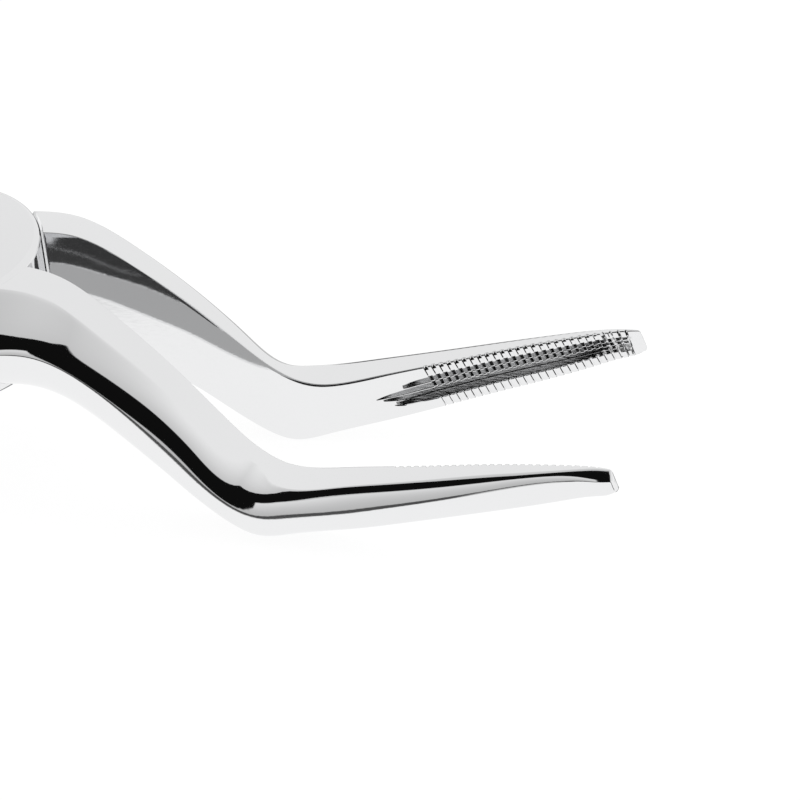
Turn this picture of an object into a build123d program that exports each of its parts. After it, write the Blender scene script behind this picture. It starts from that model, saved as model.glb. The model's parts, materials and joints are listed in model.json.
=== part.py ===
"""Bayonet root extraction forceps: two crossed forged halves that turn on one slotted joint screw.

Each half is modelled closed, in the joint's own frame: the pivot axis is Z, the mid-plane of the joint is
z = 0, and the beaks point along +X. It is then opened by HALF_OPENING and the whole instrument is pitched
so that it rests on the heels of its beaks and on the ends of its handles.
"""

from build123d import *
import os
from math import atan2, cos, degrees, radians, sin

# ---- Joint -------------------------------------------------------------------------------------------
JOINT_THICKNESS = 9.6
JOINT_RADIUS = 9.5
JOINT_EDGE_ROUND = 0.6
LAP_CLEARANCE = 0.05        # between the two lapped discs, half of it on each side
POCKET_CLEARANCE = 0.2      # radial room that a half leaves round the other half's disc
SCREW_RADIUS = 2.6
SCREW_RUNNING_CLEARANCE = 0.03
HEAD_RADIUS = 4.2
HEAD_THICKNESS = 1.9
HEAD_CLEARANCE = 0.06
HEAD_RECESS = 0.04          # the head and the tail stay this far below the cheeks
SLOT_WIDTH = 0.9
SLOT_DEPTH = 0.8

# ---- Opening and its limits --------------------------------------------------------------------------
HALF_OPENING = 9.8          # each half is turned this far from closed, in degrees

# ---- Arm and beak ------------------------------------------------------------------------------------
TIP_X = 56.2                # reach of the beaks from the pivot
ROOT_GAP = 1.05             # from the mid-plane y = 0 to the closed inner face, level with the pivot
TIP_GAP = 0.05              # the same at the tips, so that closed tips only just clear
LAND_SHARE = 0.55           # share of the thickness that is flat along the top and bottom edges
BULGE_SHARE = 1.15          # control point that makes the outer curve reach the full thickness

# Places along one half, seen from the side: top edge (x, z), bottom edge (x, z), thickness.
FRONT_STATIONS = {
    "joint_root": ((2.0, 4.8), (0.5, -4.8), 5.6),
    "joint_edge": ((7.6, 4.75), (5.6, -4.75), 5.6),
    "shoulder": ((12.0, 3.85), (9.7, -4.6), 5.0),
    "upper_arm": ((16.2, 0.85), (12.9, -5.75), 4.4),
    "mid_arm": ((20.4, -3.3), (16.6, -8.6), 4.0),
    "lower_arm": ((24.4, -7.9), (20.9, -12.1), 4.0),
    "bend_start": ((27.2, -10.7), (24.1, -15.15), 4.2),
    "bend": ((29.2, -11.8), (26.5, -16.85), 4.2),
    "bend_end": ((31.4, -11.95), (29.3, -17.0), 3.9),
    "beak_base": ((34.6, -11.5), (33.6, -16.2), 3.5),
    "beak_quarter": ((41.0, -10.55), (41.0, -14.65), 3.0),
    "beak_mid": ((48.0, -9.55), (48.0, -13.1), 2.2),
    "beak_fore": ((53.0, -9.0), (53.0, -11.95), 1.3),
    "tip_shoulder": ((55.3, -9.02), (55.3, -11.35), 0.9),
    "tip_end": ((TIP_X, -9.35), (TIP_X, -10.95), 0.45),
}

# ---- Grip: a hollow down the middle of the beak, and ribs across it ----------------------------------
GROOVE_REAR_X = 35.0
GROOVE_SHARE = 0.53         # share of the inner face's height that the hollow takes
GROOVE_DEPTH = 0.55
RIB_FIRST_X = 38.8
RIB_PITCH = 0.6
RIB_DEPTH = 0.16
RIB_CUTTER_RADIUS = 0.22

# ---- Handle ------------------------------------------------------------------------------------------
# Places along one handle, seen from above: centre (x, y), height, outer bulge, inner bulge.
HANDLE_STATIONS = {
    "hub": ((-1.0, -1.6), 9.5, 3.0, 3.0),
    "hub_edge": ((-8.5, -3.6), 9.3, 3.0, 2.6),
    "neck": ((-18.0, -6.3), 8.6, 2.8, 2.0),
    "front_swell": ((-34.0, -11.4), 9.0, 2.8, 1.6),
    "palm": ((-55.0, -16.0), 10.0, 2.9, 1.5),
    "rear_palm": ((-76.0, -17.2), 10.0, 2.9, 1.5),
    "rear_waist": ((-95.0, -15.2), 9.0, 2.7, 1.5),
    "end_swell": ((-107.0, -12.4), 8.6, 2.6, 1.5),
    "end_round": ((-111.4, -11.2), 7.0, 2.1, 1.2),
    "end": ((-112.4, -10.95), 4.2, 1.2, 0.7),
}
GRIP_FIRST_X = -26.0
GRIP_LAST_X = -104.0
GRIP_PITCH = 3.0
GRIP_DEPTH = 0.3
GRIP_CUTTER_RADIUS = 0.7

HALF_THICKNESS = JOINT_THICKNESS / 2


def inner_gap(x):
    """How far the closed inner face lies from the mid-plane y = 0 at reach x."""
    return ROOT_GAP + (TIP_GAP - ROOT_GAP) * x / TIP_X


def front_section(top, bottom, thickness):
    """A D-shaped face: flat inside, flat lands along the top and bottom, and a full curve outside."""
    def at(edge, outward):
        return Vector(edge[0], inner_gap(edge[0]) + outward, edge[1])
    land, bulge = LAND_SHARE * thickness, BULGE_SHARE * thickness
    outline = [
        Line(at(bottom, 0), at(top, 0)),
        Line(at(top, 0), at(top, land)),
        Bezier(at(top, land), at(top, bulge), at(bottom, bulge), at(bottom, land)),
        Line(at(bottom, land), at(bottom, 0)),
    ]
    return Face(Wire(outline))


def arm_and_beak():
    """The front of the half whose beak is on the +Y side, closed."""
    return loft([front_section(*station) for station in FRONT_STATIONS.values()])


def handle_section(centre, along, height, outer, inner):
    """A cushion-shaped face across the handle, fuller on the palm side than on the inside."""
    across = Vector(along.Y, -along.X, 0)      # points away from the other handle
    if across.Y > 0:
        across = across * -1

    def at(sideways, up):
        return Vector(centre[0], centre[1], up * height / 2) + across * sideways
    reach = 4 / 3
    palm_side = Bezier(at(0, 1), at(reach * outer, 1), at(reach * outer, -1), at(0, -1))
    inside = Bezier(at(0, -1), at(-reach * inner, -1), at(-reach * inner, 1), at(0, 1))
    return Face(Wire([palm_side, inside]))


def handle():
    """The handle of the half whose beak is on the +Y side, on the -Y side of the joint."""
    stations = list(HANDLE_STATIONS.values())
    centres = [Vector(*station[0], 0) for station in stations]
    faces = []
    for i, (centre, height, outer, inner) in enumerate(stations):
        along = (centres[min(i + 1, len(centres) - 1)] - centres[max(i - 1, 0)]).normalized()
        faces.append(handle_section(centre, along, height, outer, inner))
    return loft(faces)


def handle_outline_point(x):
    """The palm-side point of the handle at x, and the direction away from the other handle."""
    stations = [(s[0], s[2]) for s in HANDLE_STATIONS.values()]
    for (a, bulge_a), (b, bulge_b) in zip(stations, stations[1:]):
        if b[0] <= x <= a[0]:
            share = (x - a[0]) / (b[0] - a[0])
            along = Vector(b[0] - a[0], b[1] - a[1], 0).normalized()
            away = Vector(-along.Y, along.X, 0)
            if away.Y > 0:
                away = away * -1
            centre = Vector(x, a[1] + share * (b[1] - a[1]), 0)
            return centre + away * (bulge_a + share * (bulge_b - bulge_a)), away
    raise ValueError(f"the handle has no place at x = {x}")


def handle_grip_cuts():
    """Round-bottomed grooves across the palm side of the handle."""
    count = int((GRIP_FIRST_X - GRIP_LAST_X) / GRIP_PITCH) + 1
    cuts = []
    for i in range(count):
        surface, away = handle_outline_point(GRIP_FIRST_X - i * GRIP_PITCH)
        centre = surface + away * (GRIP_CUTTER_RADIUS - GRIP_DEPTH)
        cuts.append(Pos(*centre) * Cylinder(GRIP_CUTTER_RADIUS, 14))
    return cuts


def face_line(x):
    """Top and bottom of the beak's inner face at reach x, from the stations either side."""
    stations = [(s[0], s[1]) for s in FRONT_STATIONS.values()]

    def edge(points):
        for a, b in zip(points, points[1:]):
            if a[0] <= x <= b[0]:
                return a[1] + (b[1] - a[1]) * (x - a[0]) / (b[0] - a[0])
        raise ValueError(f"the beak has no place at x = {x}")
    return edge([s[0] for s in stations]), edge([s[1] for s in stations])


def groove_cut():
    """The hollow down the inner face: pointed at the rear, open at the tip."""
    sections = []
    for x, share in ((GROOVE_REAR_X, 0.02), (38.5, 0.62), (42.0, 1.0), (49.0, 1.0), (55.0, 1.0), (57.0, 1.0)):
        top, bottom = face_line(min(x, TIP_X - 0.4))
        middle, half = (top + bottom) / 2, (top - bottom) / 2 * GROOVE_SHARE * share
        depth = GROOVE_DEPTH * share * min(1.0, (top - bottom) / 3.6)
        y = inner_gap(x)
        floor = Bezier((x, y, middle + half), (x, y + 4 / 3 * depth, middle + half * 0.55),
                       (x, y + 4 / 3 * depth, middle - half * 0.55), (x, y, middle - half))
        lid = Polyline((x, y, middle - half), (x, y - 0.5, middle - half),
                       (x, y - 0.5, middle + half), (x, y, middle + half))
        sections.append(Face(Wire([floor, *lid.edges()])))
    return loft(sections, ruled=True)


def rib_cuts():
    """Round-bottomed notches across the inner face, which leave the ribs between them."""
    count = int((TIP_X - 0.5 - RIB_FIRST_X) / RIB_PITCH) + 1
    cuts = []
    for i in range(count):
        x = RIB_FIRST_X + i * RIB_PITCH
        top, bottom = face_line(x)
        y = inner_gap(x) + RIB_DEPTH - RIB_CUTTER_RADIUS
        cuts.append(Pos(x, y, (top + bottom) / 2) * Cylinder(RIB_CUTTER_RADIUS, top - bottom + 2))
    return cuts


def closed_half(layer):
    """The half whose beak is on the +Y side, with its disc above (layer 1) or below (layer -1) the lap."""
    disc_height = HALF_THICKNESS - LAP_CLEARANCE / 2
    disc = Pos(0, 0, layer * (LAP_CLEARANCE / 2 + disc_height / 2)) * Cylinder(JOINT_RADIUS, disc_height)
    cheek_edge = disc.edges().filter_by(GeomType.CIRCLE).sort_by(Axis.Z)[-1 if layer > 0 else 0]
    disc = fillet(cheek_edge, JOINT_EDGE_ROUND)
    pocket_height = HALF_THICKNESS + 8
    pocket_centre = layer * (LAP_CLEARANCE / 2 - pocket_height / 2)
    pocket = Pos(0, 0, pocket_centre) * Cylinder(JOINT_RADIUS + POCKET_CLEARANCE, pocket_height)
    bar = arm_and_beak() - groove_cut() - rib_cuts()
    lever = handle() - handle_grip_cuts()
    return (bar + lever + disc) - pocket


def lower_half():
    """Disc below the lap, beak on the +Y side, and a threaded hole for the screw."""
    hole = Cylinder(SCREW_RADIUS, JOINT_THICKNESS + 2)
    return Rot(Z=HALF_OPENING) * (closed_half(-1) - hole)


def upper_half():
    """Disc above the lap, beak on the -Y side, with a running bore and a seat for the screw's head."""
    bore = Cylinder(SCREW_RADIUS + SCREW_RUNNING_CLEARANCE, JOINT_THICKNESS + 2)
    seat_floor = HALF_THICKNESS - HEAD_RECESS - HEAD_THICKNESS - HEAD_CLEARANCE
    seat_height = 4.0
    seat = Pos(0, 0, seat_floor + seat_height / 2) * Cylinder(HEAD_RADIUS + HEAD_CLEARANCE, seat_height)
    half = mirror(closed_half(1), about=Plane.XZ) - bore - seat
    return Rot(Z=-HALF_OPENING) * half


def joint_screw():
    """Slotted screw: head let into the upper cheek, tail ground off just below the lower one."""
    top = HALF_THICKNESS - HEAD_RECESS
    tail = -HALF_THICKNESS + HEAD_RECESS
    head = Pos(0, 0, top - HEAD_THICKNESS / 2) * Cylinder(HEAD_RADIUS, HEAD_THICKNESS)
    shank = Pos(0, 0, (top + tail) / 2) * Cylinder(SCREW_RADIUS, top - tail)
    slot = Pos(0, 0, top) * Box(2 * HEAD_RADIUS + 1, SLOT_WIDTH, 2 * SLOT_DEPTH)
    return head + shank - Rot(Z=25) * slot


def rest_pitch():
    """The pitch, in degrees, that puts the heels of the beaks and the ends of the handles on one level."""
    opened = cos(radians(HALF_OPENING))
    (heel_x, heel_z) = FRONT_STATIONS["bend"][1]
    (end_x, _), end_height = HANDLE_STATIONS["end_swell"][:2]
    return degrees(atan2(-heel_z - end_height / 2, (heel_x - end_x) * opened))


def main():
    pitch = rest_pitch()
    parts = {"lower_half": lower_half(), "upper_half": upper_half(), "joint_screw": joint_screw()}
    parts = {name: Rot(Y=-pitch) * shape for name, shape in parts.items()}
    whole = Compound(children=[Compound(shape.solids()) for shape in parts.values()]).bounding_box()
    centre = whole.center()
    stand = Pos(-centre.X, -centre.Y, -whole.min.Z)
    os.makedirs("parts", exist_ok=True)
    for name, shape in parts.items():
        export_step(stand * shape, f"parts/{name}.step")
    pivot = stand.position
    print("size", whole.size)
    print("pitch", round(pitch, 4), "pivot centre", tuple(round(v, 4) for v in pivot))
    print("pivot axis", (round(-sin(radians(pitch)), 6), 0, round(cos(radians(pitch)), 6)))


main()
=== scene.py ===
"""Bayonet root extraction forceps: the visible model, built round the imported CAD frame.

Lengths inside the classes are millimetres in the closed joint frame: the screw's axis is Z, the lap plane is
z = 0 and the beaks point along +X. ``JointFrame`` carries a finished mesh from there to the row frame, in
metres. A name that ends in _m or _deg is in metres or degrees.
"""

import json
import logging
import math
from dataclasses import dataclass, field
from enum import Enum
from typing import Callable, Iterable, Sequence

import bmesh
import bpy
import numpy as np
from mathutils import Matrix, Vector


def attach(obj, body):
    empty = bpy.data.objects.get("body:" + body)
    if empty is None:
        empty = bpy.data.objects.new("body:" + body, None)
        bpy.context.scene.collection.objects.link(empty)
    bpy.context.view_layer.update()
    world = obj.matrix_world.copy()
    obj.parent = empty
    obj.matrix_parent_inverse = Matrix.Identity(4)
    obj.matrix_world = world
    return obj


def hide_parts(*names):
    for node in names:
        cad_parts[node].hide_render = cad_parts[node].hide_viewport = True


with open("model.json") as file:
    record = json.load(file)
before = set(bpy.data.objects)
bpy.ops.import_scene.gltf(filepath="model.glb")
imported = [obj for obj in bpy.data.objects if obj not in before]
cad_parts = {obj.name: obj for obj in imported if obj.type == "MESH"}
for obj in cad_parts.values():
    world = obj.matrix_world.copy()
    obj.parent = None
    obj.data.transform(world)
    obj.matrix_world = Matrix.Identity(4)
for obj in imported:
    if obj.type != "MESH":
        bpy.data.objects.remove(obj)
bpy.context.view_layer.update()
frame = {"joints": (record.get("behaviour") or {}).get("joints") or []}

LOG = logging.getLogger("forceps")
MM = 0.001
OUTSIDE = 9.0  # a step or an offset that belongs to no notch
WALL_FOOT = 0.5  # the step that stands for the foot of a notch's wall
ALMOST_ONE = 0.9999
WORKING_ATTRIBUTES = ("notch", "land", "ground", "grip", "top_")


# ---------------------------------------------------------------------------------------------------------
# Named options
# ---------------------------------------------------------------------------------------------------------
class Side(Enum):
    """Which way a half's beak opens from the middle plane."""

    LOWER = 1
    UPPER = -1


class Zone(Enum):
    """Surface zones of a half, in the order of its material slots."""

    POLISHED = 0
    GROUND = 1
    # The ground hollow: a real rough finish, with a darker grey that is painted shade.
    GRIP = 2
    CHEEK = 3


# ---------------------------------------------------------------------------------------------------------
# Small mathematics
# ---------------------------------------------------------------------------------------------------------
def smooth_curve(knots: Sequence[float], values: Sequence[float]) -> Callable[[np.ndarray], np.ndarray]:
    """Makes a natural cubic spline.

    Args:
        knots: Rising parameters.
        values: The value at each parameter.

    Returns:
        A function that gives the curve's value at any parameter inside the knots.
    """
    t, v = np.asarray(knots, float), np.asarray(values, float)
    gap = np.diff(t)
    slope = np.diff(v) / gap
    size = len(t)
    system, right = np.eye(size), np.zeros(size)
    for i in range(1, size - 1):
        system[i, i - 1: i + 2] = gap[i - 1], 2 * (gap[i - 1] + gap[i]), gap[i]
        right[i] = 6 * (slope[i] - slope[i - 1])
    bend = np.linalg.solve(system, right)

    def curve(at: np.ndarray) -> np.ndarray:
        """Value of the spline.

        Args:
            at: Parameters, held inside the knots.

        Returns:
            The value at each parameter.
        """
        x = np.clip(np.asarray(at, float), t[0], t[-1])
        i = np.clip(np.searchsorted(t, x, side="right") - 1, 0, size - 2)
        a, b, h = t[i + 1] - x, x - t[i], gap[i]
        return (bend[i] * a**3 + bend[i + 1] * b**3) / (6 * h) + (v[i] / h - bend[i] * h / 6) * a + (
            v[i + 1] / h - bend[i + 1] * h / 6) * b

    return curve


def smooth_step(low: float, high: float, x: np.ndarray) -> np.ndarray:
    """Rises smoothly from 0 at low to 1 at high."""
    share = np.clip((np.asarray(x, float) - low) / (high - low), 0, 1)
    return share * share * (3 - 2 * share)


def cubic_b_spline(control: np.ndarray, count: int) -> np.ndarray:
    """Samples a clamped uniform cubic B-spline.

    Args:
        control: Control points, shape (..., n, 2).
        count: How many samples to take, ends included.

    Returns:
        The samples, shape (..., count, 2).
    """
    padded = np.concatenate([control[..., :1, :]] * 2 + [control] + [control[..., -1:, :]] * 2, axis=-2)
    spans = padded.shape[-2] - 3
    at = np.linspace(0, spans, count)
    i = np.minimum(at.astype(int), spans - 1)
    t = (at - i)[:, None]
    weights = ((1 - t) ** 3 / 6, (3 * t**3 - 6 * t**2 + 4) / 6,
               (-3 * t**3 + 3 * t**2 + 3 * t + 1) / 6, t**3 / 6)
    return sum(w * padded[..., i + k, :] for k, w in enumerate(weights))


# ---------------------------------------------------------------------------------------------------------
# The joint's frame
# ---------------------------------------------------------------------------------------------------------
@dataclass(frozen=True)
class JointFrame:
    """Where the screw's axis stands in the row frame, and how far each half is turned open at rest."""

    half_opening_deg: float = 9.8

    @property
    def pivot(self) -> Vector:
        """Centre of the joint in the row frame, in metres."""
        return Vector(frame["joints"][0]["pos_m"])

    @property
    def placing(self) -> Matrix:
        """Takes millimetres in the joint's frame to metres in the row frame.

        Returns:
            The matrix, with the hinge's axis as its Z.
        """
        axis = Vector(frame["joints"][0]["axis"]).normalized()
        forward = Vector((0, 1, 0)).cross(axis)
        turn = Matrix((forward, (0, 1, 0), axis)).transposed().to_4x4()
        return Matrix.Translation(self.pivot) @ turn @ Matrix.Scale(MM, 4)

    def half_placing(self, side: Side) -> Matrix:
        """Takes a closed half, modelled with its beak on the +Y side, to its rest place in the row frame.

        Args:
            side: Which half it is.

        Returns:
            The matrix from millimetres to metres.
        """
        mirror = Matrix.Diagonal((1, side.value, 1, 1))
        turn = Matrix.Rotation(math.radians(self.half_opening_deg * side.value), 4, "Z")
        return self.placing @ turn @ mirror


# ---------------------------------------------------------------------------------------------------------
# Node helpers and finishes
# ---------------------------------------------------------------------------------------------------------
class NodeBuilder:
    """Adds nodes to a tree and links them, with plain numbers set straight on the sockets."""

    def __init__(self, tree: bpy.types.NodeTree) -> None:
        """Starts on an empty tree."""
        self.tree = tree

    def add(self, kind: str, **settings: object) -> bpy.types.Node:
        """Adds a node.

        Args:
            kind: The node's type name.
            **settings: Properties by name, and sockets as ``in_<index>`` or ``in_<name>``.

        Returns:
            The new node.
        """
        node = self.tree.nodes.new(kind)
        for key, value in settings.items():
            if not key.startswith("in_"):
                setattr(node, key, value)
        for key, value in settings.items():
            if key.startswith("in_"):
                name = key[3:]
                socket = node.inputs[int(name)] if name.isdigit() else node.inputs[name.replace("_", " ")]
                self.feed(value, socket)
        return node

    def feed(self, value: object, socket: bpy.types.NodeSocket) -> None:
        """Links a socket or a node's first output, or sets a constant.

        Args:
            value: A socket, a node or a plain value.
            socket: The input that takes it.
        """
        if isinstance(value, bpy.types.Node):
            value = next(s for s in value.outputs if s.enabled)
        if isinstance(value, bpy.types.NodeSocket):
            self.tree.links.new(value, socket)
        else:
            socket.default_value = value

    def maths(self, operation: str, *operands: object) -> bpy.types.NodeSocket:
        """Adds a Math node.

        Args:
            operation: The Math node's operation.
            *operands: Sockets, nodes or numbers.

        Returns:
            The result's socket.
        """
        node = self.tree.nodes.new("ShaderNodeMath")
        node.operation = operation
        for i, operand in enumerate(operands):
            self.feed(operand, node.inputs[i])
        return node.outputs[0]


@dataclass(frozen=True)
class SteelFinish:
    """One finish of the stainless steel, from mirror polish to ground."""

    name: str
    grey: float
    roughness: float
    roughness_spread: float
    grain_stretch: tuple[float, float, float]
    grain_scale: float
    grain_bump: float
    tint: tuple[float, float, float] = (0.0, 0.002, 0.008)
    grain_detail: float = 4.0
    grain_roughness: float = 0.6
    grain_share: float = 0.6
    bump_height: float = 0.00002
    smudge_scale: float = 60.0
    smudge_detail: float = 2.0
    smudge_shade: float = 0.975
    noise_low: float = 0.3
    noise_high: float = 0.7
    least_roughness: float = 0.005

    def material(self) -> bpy.types.Material:
        """Builds the material: metal whose roughness and fine grain vary over the surface.

        Returns:
            The material, on Object coordinates.
        """
        made = bpy.data.materials.new(self.name)
        made.use_nodes = True
        tree = made.node_tree
        tree.nodes.clear()
        build = NodeBuilder(tree)
        place = build.add("ShaderNodeTexCoord").outputs["Object"]
        stretched = build.add("ShaderNodeMapping", in_Vector=place, in_Scale=self.grain_stretch)
        grain = build.add("ShaderNodeTexNoise", in_Vector=stretched, in_Scale=self.grain_scale,
                          in_Detail=self.grain_detail, in_Roughness=self.grain_roughness)
        smudge = build.add("ShaderNodeTexNoise", in_Vector=place, in_Scale=self.smudge_scale,
                           in_Detail=self.smudge_detail)
        mixed = build.maths("MULTIPLY_ADD", grain.outputs["Fac"], self.grain_share,
                            build.maths("MULTIPLY", smudge, 1 - self.grain_share))
        rough = build.add("ShaderNodeMapRange", in_Value=mixed, in_1=self.noise_low, in_2=self.noise_high,
                          in_3=max(self.roughness - self.roughness_spread, self.least_roughness),
                          in_4=self.roughness + self.roughness_spread)
        shade = build.add("ShaderNodeMapRange", in_Value=smudge, in_1=self.noise_low, in_2=self.noise_high,
                          in_3=0.0, in_4=1.0)
        colour = [self.grey + part for part in self.tint]
        tinted = build.add("ShaderNodeMix", data_type="RGBA")
        build.feed(shade.outputs[0], tinted.inputs["Factor"])
        tinted.inputs[6].default_value = (*[self.smudge_shade * part for part in colour], 1.0)
        tinted.inputs[7].default_value = (*colour, 1.0)
        bump = build.add("ShaderNodeBump", in_Strength=self.grain_bump, in_Distance=self.bump_height,
                         in_Height=grain.outputs["Fac"])
        steel = build.add("ShaderNodeBsdfPrincipled", in_Metallic=1.0, in_Roughness=rough.outputs[0],
                          in_Normal=bump.outputs[0])
        build.feed(tinted.outputs[2], steel.inputs["Base Color"])
        out = build.add("ShaderNodeOutputMaterial")
        build.feed(steel.outputs[0], out.inputs["Surface"])
        return made


@dataclass(frozen=True)
class Finishes:
    """All the finishes of the instrument."""

    polished: SteelFinish = SteelFinish("mirror_steel", grey=0.86, roughness=0.035, roughness_spread=0.02,
                                        grain_stretch=(1, 6, 6), grain_scale=900.0, grain_bump=0.02)
    # Ground steel of the hollow: its roughness and stretched grain are the real ground finish, and its grey, well
    # below the polished steel's, is painted shade that darkens the recess.
    ground: SteelFinish = SteelFinish("ground_steel_with_painted_shade", grey=0.6, roughness=0.15, roughness_spread=0.06,
                                      grain_stretch=(0.12, 4, 4), grain_scale=1500.0, grain_bump=0.6)
    grip: SteelFinish = SteelFinish("satin_grip_steel", grey=0.74, roughness=0.2, roughness_spread=0.06,
                                    grain_stretch=(1, 1, 1), grain_scale=2500.0, grain_bump=0.15)
    cheek: SteelFinish = SteelFinish("lapped_cheek_steel", grey=0.84, roughness=0.07, roughness_spread=0.03,
                                     grain_stretch=(1, 1, 1), grain_scale=1800.0, grain_bump=0.05)
    screw: SteelFinish = SteelFinish("turned_screw_steel", grey=0.8, roughness=0.12, roughness_spread=0.04,
                                     grain_stretch=(1, 1, 1), grain_scale=2200.0, grain_bump=0.1)


# ---------------------------------------------------------------------------------------------------------
# Mesh helpers
# ---------------------------------------------------------------------------------------------------------
def mesh_object(name: str, points: np.ndarray, faces: Iterable[Sequence[int]],
                zones: Sequence[int] | None = None) -> bpy.types.Object:
    """Makes a linked mesh object.

    Args:
        name: The object's name.
        points: Vertex positions, shape (n, 3).
        faces: Vertex numbers of each face.
        zones: The material slot of each face, or None for the first slot.

    Returns:
        The object, at the origin.
    """
    mesh = bpy.data.meshes.new(name)
    mesh.from_pydata([tuple(map(float, p)) for p in points], [], [tuple(map(int, f)) for f in faces])
    if zones is not None:
        mesh.polygons.foreach_set("material_index", np.asarray(zones, np.int32))
    mesh.validate()
    mesh.update()
    made = bpy.data.objects.new(name, mesh)
    bpy.context.scene.collection.objects.link(made)
    return made


def ring_faces(rows: int, columns: int) -> list[tuple[int, ...]]:
    """Faces of a closed tube, with its two ends capped.

    Args:
        rows: How many rings the tube has.
        columns: How many points a ring has.

    Returns:
        The point numbers of each face.
    """
    faces = []
    for r in range(rows - 1):
        for c in range(columns):
            d = (c + 1) % columns
            faces.append((r * columns + c, r * columns + d, (r + 1) * columns + d, (r + 1) * columns + c))
    faces.append(tuple(reversed(range(columns))))
    faces.append(tuple(range((rows - 1) * columns, rows * columns)))
    return faces


def turned_object(name: str, profile: Sequence[tuple[float, float]], sides: int) -> bpy.types.Object:
    """Turns a profile of (radius, z) points, from the axis to the axis, about Z.

    Args:
        name: The object's name.
        profile: Points with a radius of 0 at both ends.
        sides: How many segments go round.

    Returns:
        A closed object in millimetres.
    """
    angles = np.linspace(0, 2 * math.pi, sides, endpoint=False)
    inner = profile[1:-1]
    points = [(0.0, 0.0, profile[0][1])]
    for radius, z in inner:
        points += [(radius * math.cos(a), radius * math.sin(a), z) for a in angles]
    points.append((0.0, 0.0, profile[-1][1]))
    last = len(points) - 1
    faces = []
    for s in range(sides):
        n = (s + 1) % sides
        faces.append((0, 1 + n, 1 + s))
        for r in range(len(inner) - 1):
            a, b = 1 + r * sides, 1 + (r + 1) * sides
            faces.append((a + s, a + n, b + n, b + s))
        top = 1 + (len(inner) - 1) * sides
        faces.append((top + s, top + n, last))
    made = mesh_object(name, np.array(points), faces)
    outward(made.data)
    return made


def outward(mesh: bpy.types.Mesh) -> None:
    """Makes every face of a closed mesh point outwards.

    Args:
        mesh: The mesh, which is changed.
    """
    shell = bmesh.new()
    shell.from_mesh(mesh)
    bmesh.ops.recalc_face_normals(shell, faces=shell.faces)
    if shell.calc_volume(signed=True) < 0:
        bmesh.ops.reverse_faces(shell, faces=shell.faces)
    shell.to_mesh(mesh)
    shell.free()


def close_up(mesh: bpy.types.Mesh, reach: float) -> None:
    """Merges close points and fills the pinholes left by cutting, so that the mesh is closed.

    Args:
        mesh: The mesh, which is changed.
        reach: Points closer than this are merged.
    """
    shell = bmesh.new()
    shell.from_mesh(mesh)
    bmesh.ops.remove_doubles(shell, verts=shell.verts, dist=reach)
    bmesh.ops.dissolve_degenerate(shell, edges=shell.edges, dist=reach)
    bmesh.ops.holes_fill(shell, edges=[edge for edge in shell.edges if edge.is_boundary], sides=0)
    shell.to_mesh(mesh)
    shell.free()
def store(mesh: bpy.types.Mesh, numbers: dict[str, np.ndarray]) -> None:
    """Stores named numbers on a mesh's points.

    Args:
        mesh: The mesh.
        numbers: The numbers of the first points, by name. The points after them get 0.
    """
    for name, values in numbers.items():
        whole = np.zeros(len(mesh.vertices))
        whole[:values.size] = values.reshape(-1)
        mesh.attributes.new(name, "FLOAT", "POINT").data.foreach_set("value", whole)

def baked(source: bpy.types.Object, name: str) -> bpy.types.Object:
    """Replaces an object by the plain mesh that its modifiers make.

    Args:
        source: The object with live modifiers, which is removed.
        name: The new object's name.

    Returns:
        A plain mesh object.
    """
    bpy.context.view_layer.update()
    graph = bpy.context.evaluated_depsgraph_get()
    mesh = bpy.data.meshes.new_from_object(source.evaluated_get(graph))
    made = bpy.data.objects.new(name, mesh)
    bpy.context.scene.collection.objects.link(made)
    bpy.data.objects.remove(source)
    made.name = made.data.name = name
    return made


def combine(base: bpy.types.Object, operation: str, *tools: bpy.types.Object) -> bpy.types.Object:
    """Joins tools to a solid or cuts them from it.

    Args:
        base: The solid, which is replaced.
        operation: ``UNION`` or ``DIFFERENCE``.
        *tools: Solids to join or cut away, which are removed.

    Returns:
        The new solid, a plain mesh.
    """
    for tool in tools:
        modifier = base.modifiers.new("combine", "BOOLEAN")
        modifier.operation = operation
        modifier.solver = "EXACT"
        modifier.object = tool
    made = baked(base, base.name)
    for tool in tools:
        bpy.data.objects.remove(tool)
    return made


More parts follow.
